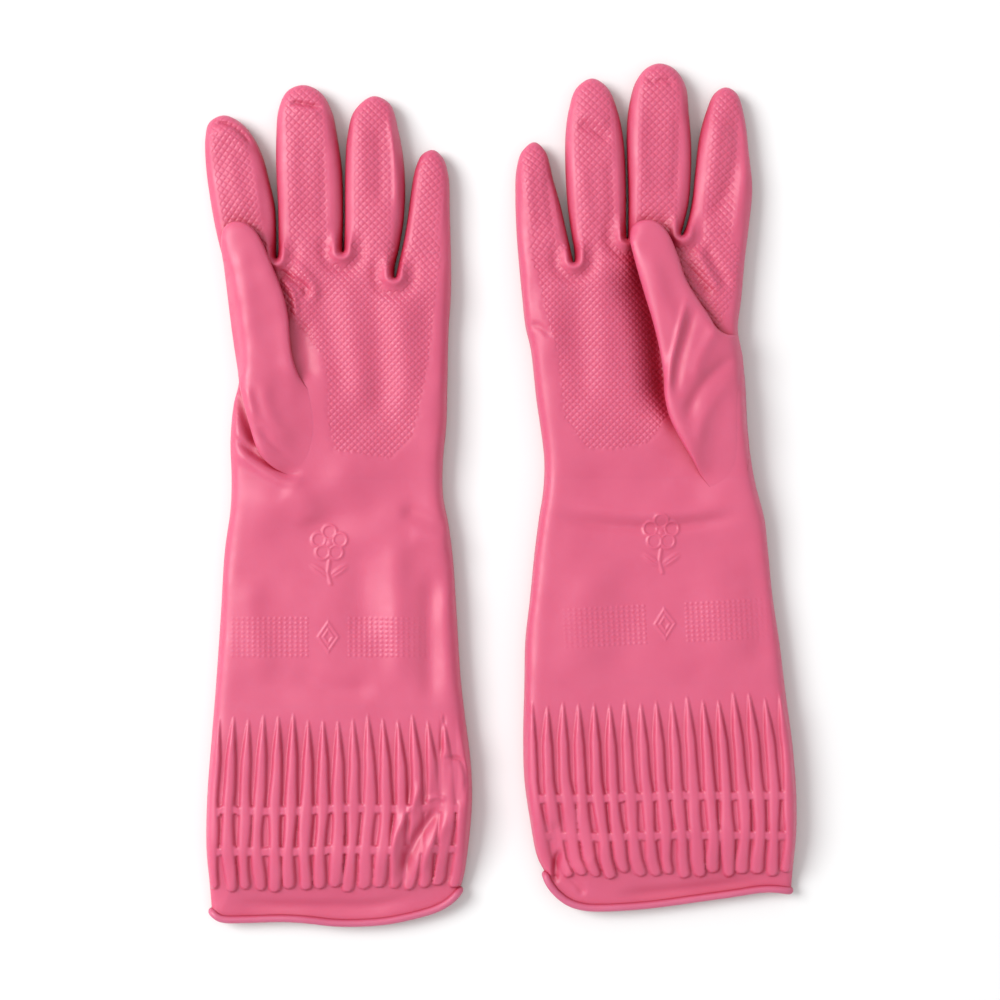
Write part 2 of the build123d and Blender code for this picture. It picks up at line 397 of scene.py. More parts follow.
def grip(points, glove):
    """A lattice of cut lines that leaves whole diamonds, turned with each finger."""
    s, t = points[:, 0] / GRIP_PITCH, points[:, 1] / GRIP_PITCH
    across = np.tile((1.0, 0.0), (len(points), 1))
    best = np.full(len(points), np.inf)
    strips = []
    for finger in glove["fingers"].values():
        base, end = np.array(finger["base"], float), np.array(finger["grip_end"], float)
        way = unit(end - base)
        side = np.array((way[1], -way[0]))
        offset, forward = (points - base) @ side, (points - base) @ way
        closer = np.abs(offset) < best
        best = np.where(closer, np.abs(offset), best)
        strips.append((closer, base, side, offset, forward))
    pitch = np.full(len(points), GRIP_PITCH)
    for closer, base, side, offset, forward in strips:
        mine = closer & (np.abs(offset) <= best + 1e-9)
        share = smooth(forward, -4, 12) * mine
        s = s * (1 - share) + (base[0] / GRIP_PITCH + offset / FINGER_PITCH) * share
        t = t * (1 - share) + (base[1] / GRIP_PITCH + forward / FINGER_PITCH) * share
        across = across * (1 - share[:, None]) + side * share[:, None]
        pitch = pitch * (1 - share) + FINGER_PITCH * share
    along = np.column_stack((-across[:, 1], across[:, 0]))
    a, b = s + t, s - t
    to_a, to_b = np.floor(a) + 0.5 - a, np.floor(b) + 0.5 - b
    edge = (0.5 - np.maximum(np.abs(to_a), np.abs(to_b))) * pitch / math.sqrt(2)
    over_a = np.abs(to_a) > np.abs(to_b)
    beyond_a = np.where(over_a, to_a - np.sign(to_a), to_a)
    beyond_b = np.where(over_a, to_b, to_b - np.sign(to_b))
    shown = np.zeros(len(points))
    for da, db in ((to_a, to_b), (beyond_a, beyond_b)):
        to_s, to_t = (da + db) / 2, (da - db) / 2
        middles = points + pitch[:, None] * (to_s[:, None] * across + to_t[:, None] * along)
        shown = np.maximum(shown, on_grip(middles, glove))
    return -GRIP_DEPTH * shown * np.exp(-(edge / GRIP_LINE) ** 2)


def on_grip(points, glove):
    """How deeply a diamond with its middle here is cut: the palm's patch and each finger's strip,
    which fades to its sides. The webs between the fingers stay plain."""
    shown = inside(points, np.array(glove["palm_grip"], float)).astype(float)
    for finger in glove["fingers"].values():
        gap, _ = path_distance(points, [finger["base"], finger["grip_end"]])
        shown = np.maximum(shown, smooth(finger["grip_half"] + 0.6 - gap, 0, 3.4))
    for x, y in glove["webs"]:
        shown *= np.hypot(points[:, 0] - x, points[:, 1] - y) > WEB_CLEAR
    return shown


def webs(points, glove):
    """The film rolls over softly at the foot of each gap between two fingers."""
    lift = np.zeros(len(points))
    for x, y in glove["webs"]:
        gap, _ = path_distance(points, [(x, y + 14), (x, y + 1)])
        below = smooth(-points[:, 1], -(y + 13), -(y + 2))
        roll = 1.7 * np.exp(-((gap - 3.3) / 1.8) ** 2)
        dip = 1.0 * np.exp(-((gap - 8.5) / 2.6) ** 2)
        lift += below * (roll - dip)
    return lift


def dots(points, glove):
    """The band of small raised dots round the sleeve, with a plain lozenge as its mark."""
    band = glove["band"]
    across, along = local(points, band["middle"], band["turn"])
    half_x, half_y = band["half"]
    pitch_x, pitch_y = DOT_PITCH
    column, row = np.round(across / pitch_x), np.round(along / pitch_y)
    gap = np.hypot(across - column * pitch_x, along - row * pitch_y)
    u, v = local(points, glove["mark"], band["turn"])
    shown = (np.abs(column * pitch_x) < half_x) & (np.abs(row * pitch_y) < half_y)
    shown &= np.abs(np.round(u / pitch_x) * pitch_x) > MARK_CLEAR
    fade = 0.35 + 0.65 * smooth(half_x - np.abs(across), 0, 16)
    lift = DOT_HEIGHT * shown * fade * np.exp(-(gap / DOT_RADIUS) ** 4)
    for size in (1.0, 0.5):
        lozenge = (np.abs(u) / 4.4 + np.abs(v) / 6.4 - size) * 3.6
        lift += 0.36 * np.exp(-(lozenge / 0.65) ** 2)
    return lift


def emblem(points, middle):
    """A plain flower of five round petals on a stem with two leaves, embossed softly."""
    centred = points - np.array(middle, float)
    heart_u, heart_v = centred[:, 0], centred[:, 1] - 5.5
    lift = 0.9 * np.exp(-(np.hypot(heart_u, heart_v) / 1.9) ** 2)
    for k in range(5):
        angle = math.radians(90 + 72 * k)
        petal_u = heart_u - PETAL_RING * math.cos(angle)
        petal_v = heart_v - PETAL_RING * math.sin(angle)
        gap = np.hypot(petal_u, petal_v)
        rim = 0.75 * np.exp(-((gap - PETAL_RADIUS) / 0.7) ** 2)
        lift = np.maximum(lift, np.maximum(rim, 0.25 * (gap < PETAL_RADIUS)))
    stem, _ = path_distance(centred, [(0, -2.2), (-0.8, -7.5), (0.6, -12.5)])
    lift = np.maximum(lift, 0.75 * np.exp(-(stem / 0.8) ** 2))
    for turn, reach in ((35, 1), (145, -1)):
        across, forward = local(centred, (0.6 * reach, -9.5), turn - 90)
        blade = (across / 1.7) ** 2 + ((forward - 4.6) / 4.4) ** 2
        lift = np.maximum(lift, 0.7 * np.exp(-(blade ** 2)) * (1 - 0.5 * np.exp(-(across / 0.4) ** 2)))
    return 0.62 * lift


def ribs(points, glove):
    """Raised elastic ribs round the cuff: pointed at the top, round at the hem, joined by two bars."""
    x, y = points.T
    left, right = sides(glove, y)
    share = (x - left) / (right - left)
    place = share * RIBS
    index = np.clip(np.floor(place), 0, RIBS - 1).astype(int)
    chance = np.random.default_rng(glove["seed"]).uniform(-1, 1, (RIBS, 8))[index].T
    drift_by, drift_at, wave, top_by, width_by, width_at, height_by, bar_by = chance
    phase = (y + 90) / 26
    slack = smooth(-y, 112, 150)
    drift = 0.09 * drift_by * np.sin(phase + 3 * drift_at) * slack
    drift += 0.06 * np.sin(phase * 3.1 + 4 * wave) * slack
    centre = place - index - 0.5 - drift
    top = np.interp(share, (0, 1), glove["rib_top"]) + 2.0 * top_by
    bottom = np.interp(share, (0, 1), glove["rib_bottom"]) + 1.6 * wave
    width = (0.33 + 0.11 * slack) * np.clip((top - y) / RIB_TAPER, 0, 1) ** 0.7
    width *= 1 + (0.10 * width_by + 0.12 * np.sin(phase * 4.3 + 5 * width_at)) * slack
    heel = np.clip(bottom + RIB_HEEL - y, 0, RIB_HEEL) / RIB_HEEL
    width *= np.sqrt(np.clip(1 - heel ** 2, 0, 1))
    profile = np.clip(1 - (np.abs(centre) / np.maximum(width, 1e-3)) ** 3, 0, 1)
    height = RIB_HEIGHT + 0.3 * height_by
    lift = height * profile ** 0.7 * np.clip(width / 0.25, 0, 1)
    for level in glove["bars"]:
        offset = y - np.interp(share, (0, 1), level) - 0.5 * bar_by
        bar = BAR_HEIGHT * smooth(BAR_HALF - np.abs(offset), 0, 0.45)
        lift = np.maximum(lift, bar * smooth(share, 0.02, 0.05) * smooth(1 - share, 0.02, 0.05))
    for path, reach in glove["slack"]:
        gap, _ = path_distance(points, path)
        lift *= 1 - 0.8 * np.exp(-(gap / reach) ** 2)
    return lift


def sides(glove, y):
    """Left and right edge of the sleeve at each height."""
    outline = np.array(glove["outline"], float)
    left = outline[:SLEEVE_POINTS]
    right = outline[-SLEEVE_POINTS:][::-1]
    return np.interp(y, left[:, 1], left[:, 0]), np.interp(y, right[:, 1], right[:, 0])


# ---- Folds, each a path, a width and a height ----

LEFT_FOLDS = [
    ([(-130, 166), (-123.5, 166.5), (-117, 163), (-110, 155)], 1.1, -2.0),
    ([(-129, 161.5), (-123.5, 162), (-118, 158.5), (-112, 151)], 2.2, 0.9),
    ([(-95, 176), (-87.5, 174.8), (-79.5, 173)], 1.2, -1.7),
    ([(-94, 172.5), (-87.5, 171), (-80, 169.5)], 2.0, 0.8),
    ([(-51, 174), (-48.6, 160), (-46.6, 142), (-46.6, 124)], 1.6, 1.5),
    ([(-62, 170), (-62, 150), (-61, 128)], 3.2, 0.7),
    ([(-55, 168), (-54, 148), (-54, 126)], 2.6, -0.8),
    ([(-92, 168), (-93, 148), (-92, 124)], 3.5, 0.7),
    ([(-80, 160), (-79, 140), (-80, 118)], 2.8, -0.8),
    ([(-121, 158), (-119, 140), (-113, 122)], 3.4, 0.7),
    ([(-107, 148), (-105.5, 132), (-104.5, 116)], 2.2, -0.8),
    ([(-100, 101.5), (-92.5, 96), (-87.5, 92.5), (-88, 86)], 1.6, -1.8),
    ([(-99, 97), (-93.5, 91.5), (-91.5, 84), (-92, 77)], 1.5, 1.5),
    ([(-96, 106), (-88, 99.5), (-83, 92), (-84, 84)], 2.2, 1.4),
    ([(-90, 80), (-88, 69), (-86.5, 58), (-86, 49)], 4.6, -2.4),
    ([(-84, 104), (-79, 82), (-74, 60), (-70, 40)], 5.5, -1.1),
    ([(-70, 102), (-67, 80), (-64, 56), (-62, 34)], 5.5, 1.2),
    ([(-57, 100), (-55, 76), (-54, 50), (-55, 28)], 5.0, -1.3),
    ([(-46, 92), (-44, 72), (-43, 50), (-46, 26)], 5.0, 1.2),
    ([(-34, 92), (-32, 66), (-34, 42)], 5.0, -1.1),
    ([(-117.5, 52), (-114.5, 38), (-110, 27), (-105, 18)], 4.0, -5.0),
    ([(-121.5, 27.5), (-108, 17.5), (-95, 10.2), (-88, 10.5)], 1.3, -2.0),
    ([(-121.5, 22), (-108, 12), (-95.5, 5.5), (-86, 7)], 2.2, 1.7),
    ([(-116, 2), (-98, -4), (-80, 2), (-60, 12)], 7.0, 1.3),
    ([(-112, -14), (-92, -18), (-70, -10), (-46, -2)], 7.0, -1.2),
    ([(-46, -6), (-34, -10), (-22, -16)], 4.0, -2.0),
    ([(-42, -18), (-31, -20), (-20, -24)], 3.6, 0.8),
    ([(-47, -14), (-46.5, -38), (-46, -64), (-45, -88)], 6.0, 2.2),
    ([(-63, -18), (-62.5, -42), (-60, -66)], 7.0, -1.7),
    ([(-31, -30), (-32, -60), (-31, -97)], 4.6, -2.4),
    ([(-24, -34), (-24, -62), (-22, -94)], 3.4, 0.9),
    ([(-94, -78), (-74, -87), (-54, -84)], 5.5, -1.6),
    ([(-112, -34), (-110, -58), (-103, -86)], 7.0, 1.8),
    ([(-96, 6), (-88, -2), (-84, -14)], 7.0, 1.6),
    ([(-34.5, -124), (-37, -132), (-41, -141), (-47, -152), (-50, -166)], 2.2, 1.9),
    ([(-25.7, -137), (-30.7, -143.6), (-37, -152.4), (-42, -162.4), (-44, -173)], 2.6, -3.2),
    ([(-22, -141), (-27, -150), (-33, -160), (-37, -171)], 2.6, 1.6),
    ([(-25.4, -97), (-26.2, -108), (-26.2, -117.3)], 0.9, -1.6),
    ([(-27, -117.5), (-22, -117), (-18.2, -118), (-15.7, -124.9), (-15.7, -134.7)], 1.0, -1.4),
    ([(-34, -137), (-29, -134.5), (-24, -136)], 1.2, 1.2),
    ([(-124, -182.5), (-104, -184), (-80, -184.5), (-56, -184), (-34, -179)], 3.0, -1.7),
]
RIGHT_FOLDS = [
    ([(57, 108), (63, 92), (68.5, 74), (71.5, 52), (76, 32)], 9.0, -9.5),
    ([(57, 122), (62, 106), (67, 92), (71, 77), (73, 60), (75.5, 42), (81, 22)], 4.6, -5.6),
    ([(46, 112), (45, 92), (46, 70), (47, 46)], 5.5, 1.0),
    ([(35, 98), (34, 78), (36, 56), (39, 36)], 5.5, -1.0),
    ([(24, 100), (23, 78), (26, 58)], 5.0, 0.9),
    ([(14, 100), (14.5, 80), (17, 60)], 2.6, -0.7),
    ([(12.5, 76.5), (17, 75.4), (23, 70)], 1.3, -1.4),
    ([(86, 112), (92, 100), (98.5, 89)], 2.0, 1.6),
    ([(90.5, 114), (97, 101), (103, 91)], 2.2, -1.5),
    ([(82, 106), (88, 96), (94, 87)], 2.0, -1.6),
    ([(102.8, 175.4), (106, 156.2), (101.5, 136.9), (92.5, 120.4)], 3.6, -2.0),
    ([(109.5, 150), (107.5, 132), (104, 116)], 2.6, 0.9),
    ([(97, 172), (96, 152), (93, 134)], 2.8, 0.9),
    ([(33.6, 166), (41, 163.8), (49.5, 158)], 2.2, -1.3),
    ([(33, 171), (41, 170), (49, 165)], 2.6, 0.9),
    ([(36, 150), (37.5, 135), (40, 118)], 3.0, 0.8),
    ([(48.5, 152), (49.5, 136), (50, 118)], 2.8, -1.0),
    ([(63, 178), (62.5, 156), (64, 132)], 3.2, 0.8),
    ([(79, 174), (79.5, 152), (76.5, 130)], 2.8, -1.0),
    ([(64, 188), (68.5, 184.5), (74.5, 185.5), (77.5, 181)], 1.3, -1.1),
    ([(12.5, 150), (12.5, 134), (15, 116)], 2.6, 0.8),
    ([(20.5, 146), (21.5, 132), (24.5, 116)], 2.2, -0.8),
    ([(22, -8), (40, -12.5), (60, -14.5), (84, -13), (110, -9)], 2.6, -1.5),
    ([(24, -3), (44, -6.5), (64, -8.5), (88, -7), (108, -3)], 3.4, 1.4),
    ([(30, 12), (52, 8), (76, 4), (100, 0)], 7.0, -1.0),
    ([(40, -30), (36, -58), (32, -84)], 10.0, 1.6),
    ([(60, -26), (56, -54), (54, -86)], 10.0, -1.5),
    ([(94, -22), (98, -50), (94, -82)], 10.0, 1.6),
    ([(113, -24), (116, -54), (116, -82)], 6.0, -1.3),
    ([(26.5, -158), (24.5, -166), (24.5, -175)], 1.4, -2.6),
    ([(29, -170), (34, -174), (38, -180)], 1.8, -1.2),
    ([(46, -180), (70, -178.5), (96, -175.5), (122, -172)], 3.0, -1.7),
]
LEFT_THUMB_FOLDS = [
    ([(-114.5, 116), (-114, 98), (-111, 78), (-108, 58)], 4.0, 0.9),
    ([(-99, 84), (-99.5, 66), (-98, 50), (-94, 38)], 4.6, -0.7),
    ([(-106, 52), (-103, 38), (-97, 28), (-89, 24)], 3.4, 1.6),
    ([(-111, 38), (-105, 27), (-98, 20), (-91, 16)], 1.8, -1.4),
    ([(-113, 50), (-109.5, 36), (-104.5, 25)], 2.0, 1.2),
    ([(-119, 88), (-117, 70), (-113.5, 52)], 2.2, -1.0),
]
RIGHT_THUMB_FOLDS = [
    ([(64, 112), (69, 96), (75, 80), (81, 66)], 4.0, 1.0),
    ([(83, 90), (78, 70), (74.8, 55), (74, 41)], 1.4, 1.4),
    ([(87, 86), (82, 70), (78.3, 55), (77.5, 41)], 2.3, -1.7),
    ([(98, 78), (93, 70), (88, 60), (85, 48)], 3.0, 1.2),
    ([(108, 64), (94.5, 54), (86, 43), (82, 30)], 2.8, -2.2),
    ([(108, 55), (97, 45), (90, 33), (87, 18)], 3.2, 1.8),
    ([(104, 42), (98.5, 30), (95, 16)], 3.2, -0.9),
]
FOLDS = {"left": LEFT_FOLDS, "right": RIGHT_FOLDS}
THUMB_FOLDS = {"left": LEFT_THUMB_FOLDS, "right": RIGHT_THUMB_FOLDS}


# ---- Sheets ----

def rows_inside(ring, gaps):
    """Points that follow an anticlockwise outline at a few distances inside it."""
    way = np.roll(ring, -1, axis=0) - np.roll(ring, 1, axis=0)
    way /= np.maximum(np.linalg.norm(way, axis=1), 1e-9)[:, None]
    inward = np.column_stack((-way[:, 1], way[:, 0]))
    found = []
    for gap in gaps:
        row = ring + inward * gap
        row = row[inside(row, ring)]
        found.append(row[near_ring(row, ring, 2 * gap) > 0.93 * gap])
    return np.vstack(found)


def fill(ring, gaps, lattices):
    """The points of a sheet: rows along its outline, then hexagons, finer where a zone asks for it."""
    points = [rows_inside(ring, gaps)]
    for step, wanted in lattices:
        grid = hexagons(ring.min(axis=0), ring.max(axis=0), step)
        grid = grid[wanted(grid)]
        grid = grid[inside(grid, ring)]
        points.append(grid[near_ring(grid, ring, 5) > gaps[-1] + 0.45 * min(step, 1.2)])
    return np.vstack(points)


def detail_zone(points, glove):
    """Where the relief is fine: grip, dots and emblem."""
    zone = inside(points, np.array(glove["palm_grip"], float))
    for finger in glove["fingers"].values():
        gap, _ = path_distance(points, [finger["base"], finger["grip_end"]])
        zone |= gap < finger["grip_half"] + 1.5
    across, along = local(points, glove["band"]["middle"], glove["band"]["turn"])
    half_x, half_y = glove["band"]["half"]
    zone |= (np.abs(across) < half_x + 1) & (np.abs(along) < half_y + 1)
    zone |= np.hypot(*(points - np.array(glove["emblem"], float)).T) < 15
    return zone


def rib_zone(points):
    """The cuff, where the ribs are."""
    return points[:, 1] < -84


def everywhere(rows):
    """A zone that leaves nothing out."""
    return np.ones(len(rows), bool)


def sheet(glove, gaps, lattices):
    """One flat film: points, triangles, swelling, which points lie on the closed edge, and how many
    of the first ones lie on the mouth."""
    flank = curve(glove["outline"], 0.8)
    mouth = curve(glove["mouth"], 0.8)[1:-1]
    ring = np.vstack((flank, mouth))[::-1]
    points, tris = triangulate(ring, fill(ring, gaps, lattices))
    order = np.arange(len(points))
    fixed = (order >= len(mouth)) & (order < len(ring))
    swell = np.sqrt(np.clip(relax(points, tris, fixed, np.zeros(len(points)), True), 0, 1))
    return points, tris, swell, fixed, len(mouth)


def edge_level(points, glove):
    """Height of the side edges, a little lower by the open mouth, and how fully the film swells."""
    gap, _ = path_distance(points, glove["mouth"])
    return EDGE_LEVEL - 0.8 * (1 - smooth(gap, 0, 22)), smooth(gap, 0, 34)


def raised(points, side, glove):
    """Heights that the upper film adds to its swelling: soft folds, and fine moulded relief."""
    lift = np.zeros(len(points))
    for path, width, height in FOLDS[side]:
        lift += FOLD_STRENGTH * stroke(points, path, width, height)
    away = smooth(points[:, 1], -96, -60)
    lift += 0.6 * ripple(points, 42, glove["seed"]) * (0.5 + 0.5 * away)
    lift += 0.11 * ripple(points, 17, glove["seed"] + 1)
    lift += webs(points, glove) + root_bulge(points, glove)
    fine = grip(points, glove) + dots(points, glove) + emblem(points, glove["emblem"])
    return lift, fine + ribs(points, glove)


def root_bulge(points, glove):
    """The palm rises where the thumb grows out of it."""
    middle, (half_x, half_y), turn, height = glove["bulge"]
    across, along = local(points, middle, turn)
    return height * np.exp(-(across / half_x) ** 2 - (along / half_y) ** 2)


def flatten(swell, full=0.82):
    """A lying glove is flat over most of its width and rounds off near its edges."""
    return np.sin(np.clip(swell / full, 0, 1) * math.pi / 2)


def rounding(swell):
    """1 at the very edge of a sheet, falling to 0 along a quarter of an ellipse."""
    part = 1 - np.clip(swell ** 2 / EDGE_ROUND, 0, 1)
    return 1 - np.sqrt(1 - part ** 2)


def upper(side, glove):
    """The upper film: triangles, points, points with two plainer heights (swollen, then folded), and
    how many of the first points lie on the mouth."""
    lattices = [(FINE_STEP, lambda p: detail_zone(p, glove)),
                (RIB_STEP, lambda p: rib_zone(p) & ~detail_zone(p, glove)),
                (PLAIN_STEP, lambda p: ~rib_zone(p) & ~detail_zone(p, glove))]
    points, tris, swell, _, mouth = sheet(glove, EDGE_ROWS, lattices)
    level, full = edge_level(points, glove)
    on_finger = smooth(points[:, 1], 98, 125)
    rise = MOUTH_SWELL + (SWELL - MOUTH_SWELL) * full
    swollen = level + rise * flatten(swell) * (1 - 0.16 * on_finger)
    folds, fine = raised(points, side, glove)
    folded = swollen + folds * smooth(swell, 0.12, 0.55)
    moulded = folded + fine * smooth(swell, 0.05, 0.4)
    return tris, np.column_stack((points, moulded)), np.column_stack((points, swollen, folded)), mouth


def lower(glove):
    """The lower film, flat on the table and rounding up to the side edges: triangles, points, and
    which points lie on the closed edge."""
    points, tris, swell, fixed, _ = sheet(glove, UNDER_ROWS, [(UNDER_STEP, everywhere)])
    level, full = edge_level(points, glove)
    height = UNDERSIDE + (level - UNDERSIDE) * rounding(swell)
    height += LIP_RISE * (1 - smooth(full, 0, 0.7)) * (1 - rounding(swell))
    return tris[:, ::-1], np.column_stack((points, height)), fixed


def weld(top, bottom, bottom_tris, shared):
    """Joins a lower film to an upper one along the edge points that they share."""
    index = np.arange(len(bottom)) + len(top)
    index[np.flatnonzero(shared)] = np.flatnonzero(shared)
    return np.vstack((top, bottom)), index[bottom_tris]


def normals(points, tris):
    """Area-weighted vertex normals."""
    a, b, c = (points[tris[:, k]] for k in range(3))
    faces = np.cross(b - a, c - a).T
    total = np.column_stack([np.bincount(tris.ravel(), np.repeat(f, 3), len(points)) for f in faces])
    return total / np.maximum(np.linalg.norm(total, axis=1), 1e-12)[:, None]


def average(values, tris):
    """Each point's value averaged with its neighbours'."""
    total = np.zeros(len(values))
    count = np.zeros(len(values))
    for a, b in ((0, 1), (1, 2), (2, 0)):
        for one, other in ((tris[:, a], tris[:, b]), (tris[:, b], tris[:, a])):
            total += np.bincount(one, values[other], len(values))
            count += np.bincount(one, minlength=len(values))
    return np.where(count > 0, total / np.maximum(count, 1), values)


def new_object(name, data):
    """A new object in the scene."""
    obj = bpy.data.objects.new(name, data)
    bpy.context.scene.collection.objects.link(obj)
    return obj


def add_piece(name, points, tris, directions, keep, material):
    """A mesh of the triangles to keep, shaded with the whole film's normals."""
    used, faces = np.unique(tris[keep], return_inverse=True)
    mesh = bpy.data.meshes.new(name)
    mesh.from_pydata((points[used] * MM).tolist(), [], faces.reshape(-1, 3).tolist())
    mesh.polygons.foreach_set("use_smooth", np.ones(len(mesh.polygons), bool))
    mesh.normals_split_custom_set_from_vertices(directions[used].tolist())
    mesh.materials.append(material)
    obj = new_object(name, mesh)
    return obj


# ---- Gloves ----

def finger_frames(glove):
    """Each finger's name, hinge and direction."""
    frames = []
    for name, finger in glove["fingers"].items():
        hinge, tip = np.array(finger["hinge"], float), np.array(finger["tip"], float)
        frames.append((name, hinge, unit(tip - hinge)))
    return frames


def finger_of(points, glove):
    """For each point, the number of the finger that it belongs to, or -1 for none."""
    gaps = []
    forwards = []
    for _, hinge, way in finger_frames(glove):
        moved = points[:, :2] - hinge
        gaps.append(np.abs(moved @ np.array((way[1], -way[0]))))
        forwards.append(moved @ way)
    nearest = np.argmin(gaps, axis=0)
    forward = np.choose(nearest, forwards)
    return np.where((forward > BEND_START) & (points[:, 1] > KNUCKLE_LINE), nearest, -1)


def build_hand(side, glove, latex, grip_latex):
    """The two films of a glove, cut into pieces for the cuff, the sleeve, the palm and each finger; the
    cuff and palm pieces ride on their bodies.

    Gives the palm's plainer heights for the thumb, and the mouth's upper and lower lips."""
    top_tris, top, plain, mouth = upper(side, glove)
    bottom_tris, bottom, shared = lower(glove)
    points, bottom_tris = weld(top, bottom, bottom_tris, shared)
    tris = np.vstack((top_tris, bottom_tris))
    directions = normals(points, tris)
    y = points[:, 1][tris]
    finger = finger_of(points, glove)[tris]
    on_finger = finger.max(axis=1)
    above_ribs = max(glove["rib_top"]) + 4
    cuff = (y < above_ribs).any(axis=1)
    sleeve = ~cuff & (y < WRIST_END).any(axis=1)
    palm = ~cuff & ~sleeve & (on_finger < 0)

    obj = add_piece(side + "_cuff_film", points, tris, directions, cuff, latex)
    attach(obj, side + "_sleeve")
    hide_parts(side + "_ribbed_cuff")
    obj = add_piece(side + "_sleeve_film", points, tris, directions, sleeve, latex)
    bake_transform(obj)
    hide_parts(side + "_sleeve")
    obj = add_piece(side + "_palm_film", points, tris, directions, palm, grip_latex)
    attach(obj, side + "_hand")
    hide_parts(side + "_palm")
    for index, (name, hinge, way) in enumerate(finger_frames(glove)):
        mine = ~cuff & ~sleeve & (on_finger == index)
        body = side + "_" + name + "_finger"
        obj = add_piece(body + "_film", points, tris, directions, mine, grip_latex)
        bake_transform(obj)
        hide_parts(body)
    return plain, top[:mouth], bottom[:mouth]


def tube(name, path, radius, material, sections=14):
    """A closed round tube along a closed path."""
    way = np.roll(path, -1, axis=0) - np.roll(path, 1, axis=0)
    way /= np.linalg.norm(way, axis=1)[:, None]
    outward = np.zeros((len(path), 3))
    turned = np.cross(way[0], (0, 0, 1))
    for k, forward in enumerate(way):
        turned = unit(turned - forward * (turned @ forward))
        outward[k] = turned
    upward = np.cross(way, outward)
    angles = np.linspace(0, 2 * math.pi, sections, endpoint=False)
    rings = [path + radius * (math.cos(a) * outward + math.sin(a) * upward) for a in angles]
    points = np.stack(rings, axis=1).reshape(-1, 3)
    count = len(path)
    k, m = np.meshgrid(np.arange(count), np.arange(sections), indexing="ij")
    after, beside = (k + 1) % count, (m + 1) % sections
    quads = np.stack((k * sections + m, after * sections + m, after * sections + beside,
                      k * sections + beside), axis=-1).reshape(-1, 4)
    tris = np.vstack((quads[:, :3], quads[:, [0, 2, 3]]))
    directions = normals(points, tris)
    return add_piece(name, points, tris, directions, everywhere(tris), material)


def build_bead(side, upper_lip, lower_lip, material):
    """The rolled bead round the mouth: over the upper lip and back under the lower one."""
    def turn(start, end, outward):
        middle, half = (start + end) / 2, (start - end) / 2
        steps = np.linspace(0, math.pi, 7)[1:-1]
        return np.array([middle + math.cos(a) * half + math.sin(a) * 0.7 * outward for a in steps])

    high = upper_lip[::2].copy()
    low = lower_lip[::-2].copy()
    low[:, 2] = np.maximum(low[:, 2], BEAD_RADIUS)
    order = np.argsort(low[:, 0])
    below = np.interp(high[:, 0], low[order, 0], low[order, 2])
    high[:, 2] = np.maximum(high[:, 2], below + BEAD_GAP)
    first = turn(high[-1], low[0], unit(high[-1] - high[-4]))
    last = turn(low[-1], high[0], unit(high[0] - high[3]))
    path = np.vstack((high, first, low, last))
    for _ in range(3):
        path = (np.roll(path, 1, axis=0) + 2 * path + np.roll(path, -1, axis=0)) / 4
    obj = tube(side + "_cuff_bead_roll", path, BEAD_RADIUS, material)
    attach(obj, side + "_sleeve")
    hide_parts(side + "_cuff_bead")


def palm_below(points, tris, palm, loose):
    """Height of the palm's film under the thumb, with the palm's folds only near the thumb's root."""
    tree = search_tree(palm[:, :2])
    near = [tree.find((x, y, 0))[1] for x, y in points]
    swollen, folded = palm[near, 2:].T
    ground = swollen * loose + folded * (1 - loose)
    for _ in range(4):
        ground = average(ground, tris)
    return ground


def build_thumb(side, glove, palm, latex):
    """The thumb: a pillow folded over the palm, whose root runs into the palm's own film."""
    ring = curve(glove["thumb"], 0.7, closed=True)[::-1]
    outline, lift = ring[:, :2], ring[:, 2]
    points, tris = triangulate(outline, fill(outline, EDGE_ROWS, [(THUMB_STEP, everywhere)]))
    fixed = np.arange(len(points)) < len(outline)
    held = np.zeros(len(points))
    swell = np.sqrt(np.clip(relax(points, tris, fixed, held, True), 0, 1))
    held[:len(outline)] = np.maximum(lift, 0)
    free = relax(points, tris, fixed, held, False)
    free = smooth(free, 0, 1) + np.maximum(free - 1, 0)
    loose = np.minimum(free, 1)
    ground = palm_below(points, tris, palm, loose)
    folds = np.zeros(len(points))
    for path, width, height in THUMB_FOLDS[side]:
        folds += FOLD_STRENGTH * stroke(points, path, width, height)
    folds += 0.22 * ripple(points, 17, glove["seed"] + 2)
    edge = free * glove["thumb_edge"]
    top = ground - 0.2 * (1 - loose) ** 2 + edge
    top += loose * (glove["thumb_swell"] * flatten(swell, full=0.66) + folds * smooth(swell, 0.1, 0.5))
    under = ground - 0.5 * (1 - loose) + 0.3 * loose
    under += (edge - 0.3) * np.where(loose > 0, rounding(swell), 0)
    both, under_tris = weld(np.column_stack((points, top)), np.column_stack((points, under)),
                            tris[:, ::-1], fixed)
    all_tris = np.vstack((tris, under_tris))
    directions = normals(both, all_tris)
    name = side + "_thumb"
    obj = add_piece(name + "_film", both, all_tris, directions, everywhere(all_tris), latex)
    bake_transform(obj)
    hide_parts(name)


# ---- Materials ----

# Deep red painted into the film's colour as shade in creases, hollows and under the thumbs
PAINTED_CREASE_SHADE = (0.42, 0.004, 0.028)


def noise(tree, place, scale, detail):
    """Noise fixed to the object."""
    node = tree.nodes.new("ShaderNodeTexNoise")
    node.inputs["Scale"].default_value = scale
    node.inputs["Detail"].default_value = detail
    tree.links.new(place.outputs["Object"], node.inputs["Vector"])
    return node.outputs["Fac"]


def remap(tree, value, start, end, low, high):
    """A value's range from start to end, stretched to run from low to high."""
    node = tree.nodes.new("ShaderNodeMapRange")
    for name, number in (("From Min", start), ("From Max", end), ("To Min", low), ("To Max", high)):
        node.inputs[name].default_value = number
    tree.links.new(value, node.inputs["Value"])
    return node.outputs["Result"]


def mix(tree, colour, factor):
    """A node that mixes a colour into its B, which is still to be given."""
    node = tree.nodes.new("ShaderNodeMix")
    node.data_type = "RGBA"
    node.inputs["A"].default_value = (*colour, 1)
    tree.links.new(factor, node.inputs["Factor"])
    return node


